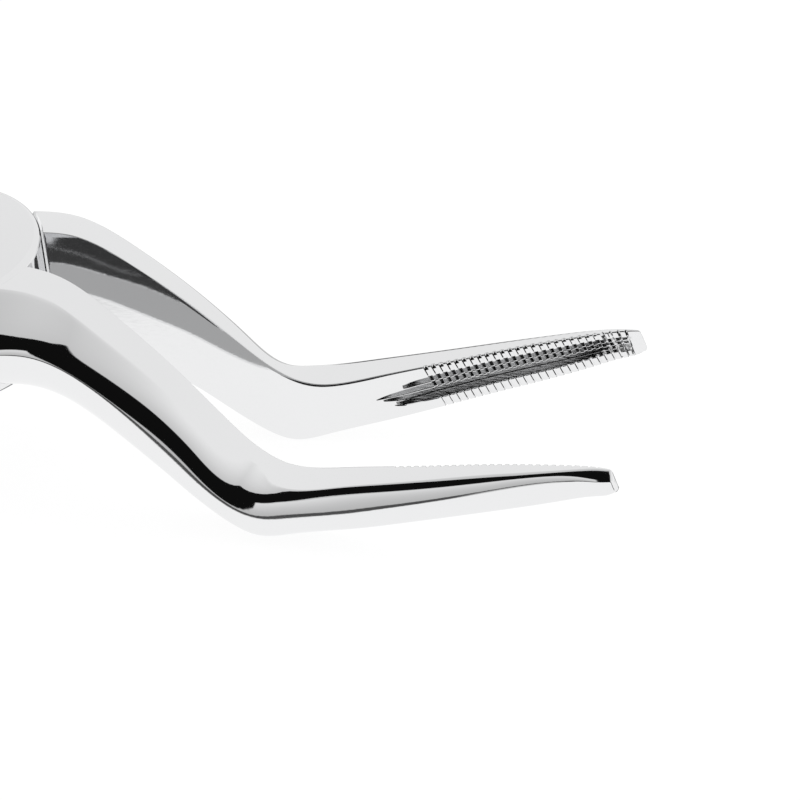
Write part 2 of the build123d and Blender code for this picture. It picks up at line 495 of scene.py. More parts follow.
# ---------------------------------------------------------------------------------------------------------
# Geometry Nodes
# ---------------------------------------------------------------------------------------------------------
class PatternTree:
    """A Geometry Nodes tree with named inputs, which ends in Realize Instances and Set Material."""

    def __init__(self, name: str, sizes: dict[str, float]) -> None:
        """Makes the tree's sockets.

        Args:
            name: The tree's name.
            sizes: Named inputs and the values that a piece uses.
        """
        self.sizes = sizes
        self.tree = bpy.data.node_groups.new(name, "GeometryNodeTree")
        face = self.tree.interface
        face.new_socket("Geometry", in_out="INPUT", socket_type="NodeSocketGeometry")
        for label in sizes:
            face.new_socket(label, in_out="INPUT", socket_type="NodeSocketFloat")
        face.new_socket("Finish", in_out="INPUT", socket_type="NodeSocketMaterial")
        face.new_socket("Geometry", in_out="OUTPUT", socket_type="NodeSocketGeometry")
        self.build = NodeBuilder(self.tree)
        self.inlet = self.tree.nodes.new("NodeGroupInput")
        self.outlet = self.tree.nodes.new("NodeGroupOutput")

    def attribute(self, name: str) -> bpy.types.NodeSocket:
        """Reads a named number stored on the points."""
        node = self.build.add("GeometryNodeInputNamedAttribute", data_type="FLOAT", in_Name=name)
        return next(s for s in node.outputs if s.enabled and s.name == "Attribute")

    def close(self, geometry: bpy.types.NodeSocket, selection: bpy.types.NodeSocket) -> None:
        """Ends the tree, giving the finish to the selected faces.

        Args:
            geometry: What the tree has made.
            selection: Which faces take the finish.
        """
        plain = self.build.add("GeometryNodeRealizeInstances", in_Geometry=geometry)
        dressed = self.build.add("GeometryNodeSetMaterial", in_Geometry=plain, in_Selection=selection,
                                 in_Material=self.inlet.outputs["Finish"])
        self.build.feed(dressed, self.outlet.inputs["Geometry"])

    def apply(self, piece: bpy.types.Object, finish: bpy.types.Material) -> bpy.types.Object:
        """Runs the tree on a piece and keeps the plain mesh that it makes.

        Args:
            piece: The piece, which is replaced.
            finish: The material that the tree sets.

        Returns:
            The new piece.
        """
        modifier = piece.modifiers.new(self.tree.name, "NODES")
        modifier.node_group = self.tree
        for item in self.tree.interface.items_tree:
            if item.item_type == "SOCKET" and item.in_out == "INPUT" and item.name in self.sizes:
                modifier[item.identifier] = float(self.sizes[item.name])
            if item.item_type == "SOCKET" and item.in_out == "INPUT" and item.name == "Finish":
                modifier[item.identifier] = finish
        return baked(piece, piece.name)


class NotchTree(PatternTree):
    """Cuts V notches with level floors across a beak's inner face, and squeezes the land behind to match."""

    LEAST_REACH = 0.001

    def __init__(self, notches: "Notches") -> None:
        """Builds the tree.

        Args:
            notches: Sizes of the notches.
        """
        super().__init__("beak_notches", {
            "Wall Steepness": notches.steepness, "Floor Depth": notches.floor_depth, "Top Extra": notches.top_extra})
        build = self.build
        away = build.maths("ABSOLUTE", self.attribute("notch_offset"))
        wall = build.maths("MULTIPLY", away, self.inlet.outputs["Wall Steepness"])
        sharp = build.maths("MAXIMUM", build.maths("SUBTRACT", self.attribute("notch_depth"), wall), 0.0)
        floor = build.maths("MULTIPLY_ADD", self.attribute("top_share"), self.inlet.outputs["Top Extra"],
                            self.inlet.outputs["Floor Depth"])
        depth = build.maths("MINIMUM", sharp, floor)
        place = build.add("ShaderNodeSeparateXYZ", in_0=build.add("GeometryNodeInputPosition"))
        reach = self.attribute("land_reach")
        taken = build.maths("DIVIDE", depth, build.maths("MAXIMUM", reach, self.LEAST_REACH))
        kept = build.maths("SUBTRACT", 1.0, taken)
        squeezed = build.maths("MULTIPLY_ADD", place.outputs["Y"], kept, depth)
        carried = build.maths("MULTIPLY_ADD", place.outputs["Y"], self.attribute("notch_carry"), depth)
        cut_in = build.maths("MAXIMUM", place.outputs["Y"], carried)
        land = build.maths("GREATER_THAN", reach, 0.0)
        outwards = build.maths("MULTIPLY_ADD", land, build.maths("SUBTRACT", squeezed, cut_in), cut_in)
        moved = build.add("ShaderNodeCombineXYZ", in_X=place.outputs["X"], in_Y=outwards,
                          in_Z=place.outputs["Z"])
        cut = build.add("GeometryNodeSetPosition", in_Geometry=self.inlet.outputs["Geometry"],
                        in_Position=moved)
        # The hollow's faces take the ground steel, whose darker grey is painted shade in the recess.
        ground = build.maths("GREATER_THAN", self.attribute("ground_and_shade_share"), 0.5)
        self.close(cut.outputs["Geometry"], ground)


class GripTree(PatternTree):
    """Presses crossed grooves into the palm side of a handle, which leaves rows of small pads."""

    def __init__(self, pitch: float, depth: float, width: float) -> None:
        """Builds the tree.

        Args:
            pitch: Distance between grooves.
            depth: Depth of a groove.
            width: Width of a groove at the surface.
        """
        super().__init__("palm_grooves", {"Pitch": pitch, "Depth": depth, "Width": width})
        build = self.build
        sockets = self.inlet.outputs
        grooves = [self.groove(self.attribute(name)) for name in ("grip_along", "grip_across")]
        deepest = build.maths("MAXIMUM", *grooves)
        sink = build.maths("MULTIPLY", build.maths("MULTIPLY", deepest, sockets["Depth"]),
                           self.attribute("grip_share"))
        inwards = build.add("ShaderNodeVectorMath", operation="SCALE",
                            in_0=build.add("GeometryNodeInputNormal"),
                            in_Scale=build.maths("MULTIPLY", sink, -1.0))
        cut = build.add("GeometryNodeSetPosition", in_Geometry=sockets["Geometry"],
                        in_Offset=inwards.outputs[0])
        self.close(cut.outputs["Geometry"], build.maths("GREATER_THAN", self.attribute("grip_share"), 0.5))

    def groove(self, place: bpy.types.NodeSocket) -> bpy.types.NodeSocket:
        """Shapes one set of round-bottomed grooves.

        Args:
            place: Distance across the grooves.

        Returns:
            The share of the depth, from 1 at a groove's middle to 0 at its rims.
        """
        build, sockets = self.build, self.inlet.outputs
        turns = build.maths("DIVIDE", place, sockets["Pitch"])
        from_middle = build.maths("ABSOLUTE", build.maths("SUBTRACT", build.maths("FRACT", turns), 0.5))
        half_width = build.maths("DIVIDE", build.maths("MULTIPLY", sockets["Width"], 0.5), sockets["Pitch"])
        share = build.maths("MINIMUM", build.maths("DIVIDE", from_middle, half_width), 1.0)
        return build.maths("SUBTRACT", 1.0, build.maths("MULTIPLY", share, share))


# ---------------------------------------------------------------------------------------------------------
# Arm and beak
# ---------------------------------------------------------------------------------------------------------
@dataclass(frozen=True)
class Station:
    """A section of the arm or beak: its inner edges seen from the side, and the shape of its back."""

    top: tuple[float, float]
    bottom: tuple[float, float]
    crown: float
    slant_deg: float
    belly: float
    belly_share: float
    foot: float


@dataclass(frozen=True)
class Notches:
    """The cross notches of a beak, deeper at the top edge of the inner face than at the bottom one."""

    first_x: float = 38.4
    pitch: float = 0.63
    count: int = 29
    top_depth: float = 0.4
    bottom_depth: float = 0.24
    steepness: float = 2.0
    floor_depth: float = 0.13
    top_extra: float = 0.06
    top_from: float = 0.93
    end_margin: float = 0.7
    hollow_carry: float = 0.5
    least_floor: float = 0.25
    steel_share: float = 0.62
    land_share: float = 0.97
    end_squeeze: float = 0.02
    back_width: float = 0.25
    back_from: float = 0.3
    back_at: float = 0.45


@dataclass(frozen=True)
class Hollow:
    """The ground hollow of a beak's inner face: a ledged trough in its lower half, and flutes that fan out.

    Places along it are reaches from the joint. Its two edges are shares of the face's height.
    """

    foot_edge: tuple[tuple[float, float], ...] = (
        (34.0, 0.42), (35.2, 0.27), (37.0, 0.2), (40.0, 0.2), (43.5, 0.22))
    top_edge: tuple[tuple[float, float], ...] = (
        (34.0, 0.52), (35.0, 0.63), (36.4, 0.71), (38.4, 0.755), (43.5, 0.79))
    flute_starts: tuple[float, ...] = (35.7, 34.6, 34.1, 36.2)
    flute_run: float = 2.2
    flute_depth: float = 0.105
    rib: float = 1 / 6
    crest: float = 11 / 12
    trough_foot: float = 0.01
    trough_top: float = 0.5
    trough_ledge: float = 0.14
    trough_depth: float = 0.3
    trough_flutes: float = 0.4
    deep_from: float = 35.5
    deep_at: float = 39.5
    shallow_from: float = 47.5
    shallow_at: float = 54.0
    tip_share: float = 0.5
    last_x: float = 55.3
    last_run: float = 3.0
    least_depth: float = 0.003

    def edges(self, x: np.ndarray) -> tuple[np.ndarray, np.ndarray]:
        """Places the hollow's edges.

        Args:
            x: Reach of each point.

        Returns:
            The bottom and the top edge, as shares of the face's height.
        """
        low, high = np.array(self.foot_edge), np.array(self.top_edge)
        return (smooth_curve(low[:, 0], low[:, 1])(np.clip(x, low[0, 0], low[-1, 0])),
                smooth_curve(high[:, 0], high[:, 1])(np.clip(x, high[0, 0], high[-1, 0])))

    def sink(self, x: np.ndarray, across: np.ndarray) -> np.ndarray:
        """Depth of the hollow.

        Args:
            x: Reach of each point.
            across: Place between the hollow's edges, 0 at the bottom one and 1 at the top one.

        Returns:
            The depth below the flat face, 0 outside the hollow.
        """
        place = np.clip(across, 0, ALMOST_ONE) * len(self.flute_starts)
        starts = np.array(self.flute_starts)[place.astype(int)]
        part = place % 1
        ramp = np.clip((part - self.rib) / (self.crest - self.rib), 0, 1)
        flute = np.where(part < self.crest, ramp, (1 - part) / (1 - self.crest)) * self.flute_depth
        flute = flute * smooth_step(0, self.flute_run, x - starts)
        deep = smooth_step(self.deep_from, self.deep_at, x)
        down = self.trough_ledge + (self.trough_depth - self.trough_ledge) * across / self.trough_top
        trough = np.where((across > self.trough_foot) & (across < self.trough_top), down, 0) * deep
        flute = np.where(across < self.trough_top, flute * (1 + (self.trough_flutes - 1) * deep), flute)
        fade = 1 + (self.tip_share - 1) * smooth_step(self.shallow_from, self.shallow_at, x)
        fade = fade * (1 - smooth_step(self.last_x - self.last_run, self.last_x, x))
        return np.where((across > 0) & (across < 1), fade * (trough + flute), 0)


@dataclass(frozen=True)
class SkinColumns:
    """Columns of a bar's skin: up over the inner face, then round the back from its top to its bottom.

    A column of the face has a zone, 0 to 1 on the bottom land, to 2 in the hollow and to 3 on the top land, and
    its share of the face's height near the tip. A column of the back has its share of the way round.
    """

    zone: np.ndarray
    face_share: np.ndarray
    back_share: np.ndarray

    @property
    def count(self) -> int:
        """Number of columns."""
        return len(self.zone) + len(self.back_share)

    @property
    def on_face(self) -> np.ndarray:
        """Which columns lie on the inner face."""
        return np.arange(self.count) < len(self.zone)

    @property
    def back_top(self) -> np.ndarray:
        """Which columns of the back lie on its upper half."""
        return self.back_share < 0.5

    def joined(self, face: np.ndarray, back: np.ndarray | float) -> np.ndarray:
        """Joins a number for each column of the face to those of the back."""
        return np.concatenate([face, np.broadcast_to(back, self.back_share.shape)])


@dataclass
class FrontBar:
    """Arm and beak of one half, as one skin from inside the joint to the tip."""

    stations: dict[str, Station] = field(default_factory=lambda: {
        "joint_root": Station((2.0, 4.5), (0.5, -4.5), 3.6, 30, 7.0, 0.45, 4.6),
        "joint_edge": Station((7.6, 4.55), (5.6, -4.6), 3.3, 36, 6.5, 0.49, 4.1),
        "shoulder": Station((12.0, 3.9), (9.4, -4.5), 3.1, 43, 6.0, 0.53, 3.4),
        "upper_arm": Station((16.2, 0.85), (13.0, -5.9), 3.0, 48, 5.4, 0.54, 2.5),
        "mid_arm": Station((20.4, -3.3), (16.9, -8.85), 2.6, 58, 4.9, 0.41, 2.2),
        "lower_arm": Station((24.4, -7.9), (20.8, -12.05), 1.8, 69, 4.6, 0.29, 2.35),
        "bend_start": Station((27.2, -10.7), (24.1, -15.15), 1.5, 62, 4.35, 0.27, 2.5),
        "bend": Station((29.2, -11.75), (27.0, -17.05), 2.65, 45, 4.05, 0.28, 2.4),
        "bend_end": Station((31.4, -11.93), (30.0, -16.85), 2.95, 29, 3.7, 0.33, 2.3),
        "beak_base": Station((34.4, -11.52), (34.8, -15.95), 2.6, 26, 3.15, 0.4, 2.4),
        "grip_start": Station((37.6, -11.05), (39.0, -15.1), 2.2, 29, 2.72, 0.46, 2.1),
        "beak_quarter": Station((41.0, -10.55), (42.4, -14.35), 1.8, 32.5, 2.33, 0.5, 1.8),
        "beak_mid": Station((46.0, -9.78), (47.3, -13.33), 1.2, 36, 1.7, 0.58, 1.15),
        "beak_fore": Station((50.5, -9.25), (51.6, -12.33), 0.8, 34, 1.14, 0.64, 0.58),
        "tip_shoulder": Station((53.4, -9.0), (54.3, -11.65), 0.44, 32, 0.82, 0.62, 0.36),
        "tip_round": Station((54.9, -8.99), (55.5, -11.38), 0.2, 32, 0.68, 0.6, 0.3),
        "tip": Station((55.6, -9.07), (56.0, -11.1), 0.12, 32, 0.58, 0.6, 0.26),
    })
    corner_spread: float = 0.45
    corner_limit: float = 0.45
    elbow_share: float = 0.12
    flank_curve: float = 0.05
    notches: Notches = Notches()
    hollow: Hollow = Hollow()
    root_gap: float = 1.05
    tip_gap: float = 0.05
    tip_x: float = 56.2
    edge_round: float = 0.11
    edge_limit: float = 0.4
    tip_round: float = 0.28
    tip_corner: float = 0.42
    tip_turns_deg: tuple[float, ...] = (12, 26, 40, 54, 68, 80)
    land_columns: int = 12
    hollow_columns: int = 48
    edge_columns: int = 4
    outer_columns: int = 46
    arm_rows: int = 92
    start_rows: int = 56
    run_samples: int = 4000
    notch_steps: tuple[float, ...] = (-1.0, -WALL_FOOT, 0.0, WALL_FOOT, 1.0, 2.3, 2.7)

    def inner_gap(self, x: np.ndarray) -> np.ndarray:
        """Distance from the middle plane to the closed inner face."""
        return self.root_gap + (self.tip_gap - self.root_gap) * x / self.tip_x

    def edge_at(self, crown: np.ndarray) -> np.ndarray:
        """Radius of the rounded edges of the inner face, less where the crown is narrow."""
        return np.minimum(self.edge_round, crown * self.edge_limit)

    def curves(self) -> tuple[float, dict[str, Callable[[np.ndarray], np.ndarray]]]:
        """Draws a smooth curve through every measure of the stations, over the run along the top edge.

        Returns:
            The whole run, and the curve of each measure.
        """
        rows = list(self.stations.values())
        tops = np.array([s.top for s in rows])
        run = np.concatenate([[0], np.cumsum(np.linalg.norm(np.diff(tops, axis=0), axis=1))])
        measures = {
            "top_x": [s.top[0] for s in rows], "top_z": [s.top[1] for s in rows],
            "bottom_x": [s.bottom[0] for s in rows], "bottom_z": [s.bottom[1] for s in rows],
            **{name: [getattr(s, name) for s in rows]
               for name in ("crown", "slant_deg", "belly", "belly_share", "foot")},
        }
        return run[-1], {name: smooth_curve(run, values) for name, values in measures.items()}

    def row_places(self, run_end: float, top_x: Callable[[np.ndarray], np.ndarray]
                   ) -> tuple[np.ndarray, np.ndarray, np.ndarray]:
        """Places the rows.

        Args:
            run_end: The whole run.
            top_x: Reach of the top edge at each run.

        Returns:
            For each row: its run, or the run of its notch's middle; its step; and the run where the flat after
            its notch ends. A step is -1 to 1 inside a notch, with WALL_FOOT either way for the foot of a wall,
            2 to 3 on the flat after the notch, and OUTSIDE elsewhere.
        """
        fine = np.linspace(0, run_end, self.run_samples)
        first, hollow_start = (float(np.interp(x, top_x(fine), fine))
                               for x in (self.notches.first_x, self.hollow.foot_edge[0][0]))
        pitch = self.notches.pitch
        runs = [*np.linspace(0, hollow_start, self.arm_rows, endpoint=False),
                *np.linspace(hollow_start, first - pitch / 2, self.start_rows)]
        steps, ends = [OUTSIDE] * len(runs), [0.0] * len(runs)
        count = min(self.notches.count, int((run_end - self.notches.end_margin - first) / pitch) + 1)
        for k in range(count):
            middle = first + k * pitch
            runs += [middle] * len(self.notch_steps)
            steps += self.notch_steps
            ends += [run_end if k == count - 1 else middle + pitch] * len(self.notch_steps)
        return np.array([*runs, run_end]), np.array([*steps, OUTSIDE]), np.array([*ends, 0.0])

    def skin_columns(self) -> SkinColumns:
        """Lays out the columns of the skin.

        Returns:
            The columns, closer together over the hollow.
        """
        land = np.linspace(0, 1, self.land_columns, endpoint=False)
        middle = np.linspace(0, 1, self.hollow_columns, endpoint=False)
        zone = np.concatenate([land, 1 + middle, 2 + land, [3.0]])
        marks = (0, self.hollow.foot_edge[-1][1], self.hollow.top_edge[-1][1], 1)
        return SkinColumns(zone, np.interp(zone, (0, 1, 2, 3), marks),
                           np.linspace(0, 1, self.outer_columns + 2 * self.edge_columns))

    def notch_sizes(self, columns: SkinColumns) -> tuple[np.ndarray, np.ndarray]:
        """Sizes the notches.

        Args:
            columns: The skin's columns.

        Returns:
            For each column, the depth of the V and half its width, which evens out round the back.
        """
        notches, top = self.notches, columns.back_top
        rise = notches.top_depth - notches.bottom_depth
        bite = columns.joined(notches.bottom_depth + rise * columns.face_share,
                              np.where(top, notches.top_depth, notches.bottom_depth))
        half_width = bite / notches.steepness
        back = half_width[~columns.on_face]
        from_edge = np.where(top, columns.back_share, 1 - columns.back_share)
        even = notches.pitch * notches.back_width
        relax = smooth_step(notches.back_from, notches.back_at, from_edge)
        half_width[~columns.on_face] = back + (even - back) * relax
        return bite, half_width

    def run_grid(self, run_end: float, top_x: Callable[[np.ndarray], np.ndarray],
                 half_width: np.ndarray) -> tuple[np.ndarray, np.ndarray]:
        """Places every point along the bar.

        Args:
            run_end: The whole run.
            top_x: Reach of the top edge at each run.
            half_width: Half the width of a notch at each column.

        Returns:
            By row and column, the point's run and its offset from the middle of its notch, or OUTSIDE.
        """
        notches = self.notches
        runs, steps, ends = self.row_places(run_end, top_x)
        step = steps[:, None]
        in_notch, on_flat = np.abs(steps) <= 1, (steps > 2) & (steps < 3)
        wall = notches.floor_depth / notches.steepness
        wall_foot = np.maximum(half_width - wall, half_width * notches.least_floor)
        offset = np.where(np.abs(step) == WALL_FOOT, np.sign(step) * wall_foot, step * half_width)
        run = np.repeat(runs[:, None], len(half_width), 1)
        run[in_notch] += offset[in_notch]
        squeeze = np.where(ends[on_flat] >= run_end, notches.end_squeeze, 1.0)[:, None]
        flat_start = runs[on_flat][:, None] + half_width
        flat_end = ends[on_flat][:, None] - half_width * squeeze
        run[on_flat] = flat_start + (flat_end - flat_start) * (step[on_flat] - 2)
        return run, np.where(in_notch[:, None], offset, OUTSIDE)

    def section_back(self, height: np.ndarray, shape: dict[str, np.ndarray]) -> np.ndarray:
        """Back of each section, from the inner face's top round to its bottom, edge rounds included.

        Args:
            height: Height of the inner face.
            shape: The other measures of the sections, as in a station.

        Returns:
            Points (outward, upward), shape (n, outer_columns + 2 * edge_columns, 2).
        """
        edge = self.edge_at(shape["crown"])
        crown, belly, foot = shape["crown"], shape["belly"], shape["foot"]
        slant = np.radians(shape["slant_deg"])
        spread = np.minimum(self.corner_spread, crown * self.corner_limit)
        widest = height * shape["belly_share"]
        elbow = np.maximum(height - (belly - crown) / np.tan(slant),
                           widest + (height - widest) * self.elbow_share)
        nothing = np.zeros_like(height)
        control = np.stack([np.stack(pair, -1) for pair in (
            (nothing + edge, height),
            (crown * 0.5, height),
            (crown - spread, height),
            (crown, height),
            (crown + spread * np.sin(slant), height - spread * np.cos(slant)),
            (belly - self.flank_curve * (elbow - widest), elbow),
            (belly, widest),
            (belly - self.flank_curve * widest, widest * 0.55),
            (foot + (belly - foot) * 0.45, widest * 0.16),
            (foot * 0.86, nothing),
            (foot * 0.5, nothing),
            (nothing + edge, nothing),
        )], axis=1)
        back = cubic_b_spline(control, self.outer_columns)
        turn = np.linspace(0, math.pi / 2, self.edge_columns + 2)[1:-1]
        near, far = edge[:, None] * (1 - np.cos(turn)), edge[:, None] * (1 - np.sin(turn))
        top_edge = np.stack([near, height[:, None] - far], -1)
        foot_edge = np.stack([far, near], -1)
        return np.concatenate([top_edge, back, foot_edge], axis=1)

    def sections(self, shape: dict[str, np.ndarray], columns: SkinColumns) -> tuple[np.ndarray, np.ndarray]:
        """Draws every section.

        Args:
            shape: The measures of the sections, by row and column.
            columns: The skin's columns.

        Returns:
            How far each point stands out of the inner face, and its share of the face's height.
        """
        height = np.hypot(shape["top_x"] - shape["bottom_x"], shape["top_z"] - shape["bottom_z"])
        edge_share = self.edge_at(shape["crown"]) / height
        out, up = np.zeros_like(height), np.zeros_like(height)
        low, high = self.hollow.edges(shape["top_x"])
        for c, zone in enumerate(columns.zone):
            marks = (0, low[:, c], high[:, c], 1)
            k = min(int(zone), 2)
            share = marks[k] + (marks[k + 1] - marks[k]) * (zone - k)
            up[:, c] = edge_share[:, c] + (1 - 2 * edge_share[:, c]) * share
        for c in range(len(columns.zone), columns.count):
            here = {name: values[:, c] for name, values in shape.items()}
            back = self.section_back(height[:, c], here)[:, c - len(columns.zone)]
            out[:, c], up[:, c] = back[:, 0], back[:, 1] / height[:, c]
        return out, up

    def notch_numbers(self, columns: SkinColumns, shape: dict[str, np.ndarray], out: np.ndarray,
                      bite: np.ndarray, offset: np.ndarray) -> dict[str, np.ndarray]:
        """Works out what the notch tree reads.

        Args:
            columns: The skin's columns.
            shape: The measures of the sections.
            out: How far each point stands out of the inner face.
            bite: Depth of the V at each column.
            offset: Each point's offset from the middle of its notch.

        Returns:
            A number for each point, by the name that the tree reads it by.
        """
        notches, crown, foot = self.notches, shape["crown"], shape["foot"]
        on_face, on_top = columns.on_face, columns.joined(np.zeros(len(columns.zone), bool), columns.back_top)
        reach = np.where(on_face, 0, np.where(on_top, crown, foot) * notches.land_share)
        steel = np.where(on_face | on_top, crown, np.minimum(crown, foot)) * notches.steel_share
        cut = (offset < OUTSIDE) & (on_face | (out < reach))
        near_top = (columns.face_share - notches.top_from) / (1 - notches.top_from)
        in_squares = (columns.zone - 1 > self.hollow.trough_top) & (columns.zone < 2)
        return {"notch_offset": offset, "land_reach": reach,
                "notch_depth": np.where(cut, np.minimum(bite, steel), 0),
                "notch_carry": columns.joined(in_squares * notches.hollow_carry, 0.0),
                "top_share": columns.joined(np.clip(near_top, 0, 1), columns.back_top * 1.0)}

    def build(self, finish: bpy.types.Material) -> bpy.types.Object:
        """Builds the bar, closed, with its beak on the +Y side.

        Args:
            finish: The finish of the hollow, ground steel whose darker grey is painted shade in the recess.

        Returns:
            The bar as a closed mesh in millimetres.
        """
        run_end, curves = self.curves()
        columns = self.skin_columns()
        bite, half_width = self.notch_sizes(columns)
        run, offset = self.run_grid(run_end, curves["top_x"], half_width)
        shape = {name: curve(run) for name, curve in curves.items()}
        out, up = self.sections(shape, columns)
        x = shape["bottom_x"] + (shape["top_x"] - shape["bottom_x"]) * up
        z = shape["bottom_z"] + (shape["top_z"] - shape["bottom_z"]) * up
        hollow = self.hollow.sink(x, columns.joined(columns.zone - 1, -1.0))
        y = np.maximum(out, hollow)
        numbers = self.notch_numbers(columns, shape, out, bite, offset)
        # Marks the hollow for the ground steel, whose darker grey is painted shade in the recess.
        numbers["ground_and_shade_share"] = (hollow > self.hollow.least_depth) * 1.0

        points = np.concatenate([np.stack([x, y, z], -1).reshape(-1, 3), self.tip_cap(x, y, z)])
        bar = mesh_object("bar", points, ring_faces(len(points) // columns.count, columns.count))
        store(bar.data, {name: np.broadcast_to(values, x.shape) for name, values in numbers.items()})
        bar = NotchTree(self.notches).apply(bar, finish)
        place = np.empty(len(bar.data.vertices) * 3)
        bar.data.vertices.foreach_get("co", place)
        place = place.reshape(-1, 3)
        place[:, 1] += self.inner_gap(place[:, 0])
        bar.data.vertices.foreach_set("co", place.reshape(-1))
        outward(bar.data)
        return bar

    def tip_cap(self, x: np.ndarray, y: np.ndarray, z: np.ndarray) -> np.ndarray:
        """Rounds the end of the tip.

        Args:
            x: Reach of every point, by row and column.
            y: Outward place of every point.
            z: Height of every point.

        Returns:
            The points of a few more rings that close in on the middle of the end.
        """
        middle = z[-1].mean()
        cap = []
        for turn in np.radians(self.tip_turns_deg):
            advance, scale = self.tip_round * math.sin(turn), math.cos(turn)
            height = middle + (z[-1] - middle) * (1 - self.tip_corner * (1 - scale))
            cap.append(np.stack([x[-1] + advance, y[-1] * scale, height], -1))
        return np.concatenate(cap)


# ---------------------------------------------------------------------------------------------------------
# Handle
# ---------------------------------------------------------------------------------------------------------
@dataclass(frozen=True)
class HandleStation:
    """A section of the handle seen from above: its centre, height, and how far each side stands out."""

    centre: tuple[float, float]
    height: float
    palm: float
    inside: float


@dataclass
class Handle:
    """Handle of one half, on the -Y side of the joint while its beak is on the +Y side."""

    stations: dict[str, HandleStation] = field(default_factory=lambda: {
        "hub": HandleStation((-1.0, -1.6), 9.1, 3.0, 3.0),
        "hub_edge": HandleStation((-8.5, -3.6), 9.0, 3.0, 2.6),
        "neck": HandleStation((-18.0, -6.3), 8.6, 2.8, 2.0),
        "front_swell": HandleStation((-34.0, -11.4), 9.0, 2.8, 1.6),
        "palm": HandleStation((-55.0, -16.0), 10.0, 2.9, 1.5),
        "rear_palm": HandleStation((-76.0, -17.2), 10.0, 2.9, 1.5),
        "rear_waist": HandleStation((-95.0, -15.2), 9.0, 2.7, 1.5),
        "end_swell": HandleStation((-107.0, -12.4), 8.6, 2.6, 1.5),
        "end_round": HandleStation((-111.4, -11.2), 7.4, 2.2, 1.3),
    })
    end_run: float = 1.3
    end_shares: tuple[float, ...] = (0.3, 0.55, 0.75, 0.9, 0.98)
    end_flat: float = 0.35
    squareness: float = 2.7
    grip_first_x: float = -27.0
    grip_last_x: float = -103.0
    grip_fade: float = 0.5
    grip_pitch: float = 2.0
    grip_depth: float = 0.26
    grip_width: float = 0.9
    grip_reach: float = 0.37
    grip_rim: float = 0.02
    grip_rows_below: int = 50
    palm_columns: int = 46
    inside_columns: int = 26
    rows: int = 540

    def rings(self, x: np.ndarray, y: np.ndarray, sideways: np.ndarray, up: np.ndarray) -> np.ndarray:
        """Stands the sections along the handle's line, and rounds its end.

        Args:
            x: Reach of the line at each row.
            y: Sideways place of the line at each row.
            sideways: How far each point stands out, towards the palm.
            up: Height of each point.

        Returns:
            The points, row by row, with those of the rounded end last.
        """
        along = np.stack([np.gradient(x), np.gradient(y)], -1)
        along /= np.linalg.norm(along, axis=1)[:, None]
        away = np.stack([along[:, 1], -along[:, 0]], -1)
        away *= -np.sign(away[:, 1:2])
        made = [np.stack([x[:, None] + away[:, :1] * sideways, y[:, None] + away[:, 1:] * sideways, up], -1)]
        for share in self.end_shares:
            scale = math.sqrt(1 - share**2)
            end_x, end_y = (at[-1] + along[-1, k] * self.end_run * share for k, at in enumerate((x, y)))
            out_x, out_y = (away[-1, k] * sideways[-1] * scale for k in (0, 1))
            lower = self.end_flat + (1 - self.end_flat) * scale
            made.append(np.stack([end_x + out_x, end_y + out_y, up[-1] * lower], -1)[None])
        return np.concatenate(made).reshape(-1, 3)

    def build(self, finish: bpy.types.Material) -> bpy.types.Object:
        """Builds the handle.

        Args:
            finish: The finish of the grip.

        Returns:
            The handle as a closed mesh in millimetres.
        """
        rows = list(self.stations.values())
        centres = np.array([s.centre for s in rows])
        knots = np.concatenate([[0], np.cumsum(np.linalg.norm(np.diff(centres, axis=0), axis=1))])
        run = np.linspace(0, knots[-1], self.rows)
        x, y = (smooth_curve(knots, centres[:, k])(run) for k in (0, 1))
        height, palm, inside = (smooth_curve(knots, [getattr(s, name) for s in rows])(run)[:, None]
                                for name in ("height", "palm", "inside"))
        palm_turn = np.linspace(math.pi / 2, -math.pi / 2, self.palm_columns, endpoint=False)
        inside_turn = np.linspace(-math.pi / 2, -3 * math.pi / 2, self.inside_columns, endpoint=False)
        turn = np.concatenate([palm_turn, inside_turn])
        power = 2 / self.squareness
        side = np.sign(np.cos(turn)) * np.abs(np.cos(turn)) ** power
        rise = np.sign(np.sin(turn)) * np.abs(np.sin(turn)) ** power
        up = height / 2 * rise
        points = self.rings(x, y, np.where(side > 0, palm, inside) * side, up)
        body = mesh_object("handle", points, ring_faces(len(points) // len(turn), len(turn)))

        fade = self.grip_fade
        mask = smooth_step(-fade, fade, self.grip_first_x - x) * smooth_step(-fade, fade, x - self.grip_last_x)
        on_side = 1 - smooth_step(self.grip_reach - self.grip_rim, self.grip_reach, np.abs(up) / height)
        store(body.data, {"grip_along": np.repeat(run[:, None], len(turn), 1),
                          "grip_across": up + self.grip_rows_below * self.grip_pitch,
                          "grip_share": mask[:, None] * on_side * (side > 0)})
        outward(body.data)
        return GripTree(self.grip_pitch, self.grip_depth, self.grip_width).apply(body, finish)


